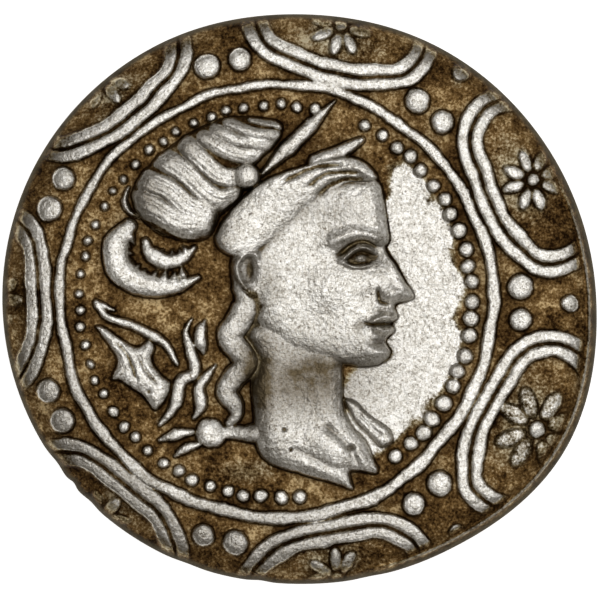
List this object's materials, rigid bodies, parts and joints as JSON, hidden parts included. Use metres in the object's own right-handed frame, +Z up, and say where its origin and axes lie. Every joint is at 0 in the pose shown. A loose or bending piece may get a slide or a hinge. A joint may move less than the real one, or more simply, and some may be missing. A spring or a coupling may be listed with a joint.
{
  "type": "tetradrachm coin",
  "caption": "Round hammered silver coin with a rounded edge, a bust inside a beaded ring and a shield-like border of ovals and pellets on its upper face.",
  "frame": {"origin": "middle of the coin's outline, on the surface it lies on", "axes": "+Z up through the coin from its reverse to its obverse, +X to the right and +Y to the top of the obverse as it is read"},
  "size_m": [0.0318, 0.0306, 0.0034],
  "materials": {
    "silver": "struck silver, worn on the high points and toned brown in the hollows"
  },
  "bodies": {
    "root": {"coin": "silver"}
  },
  "joints": []
}
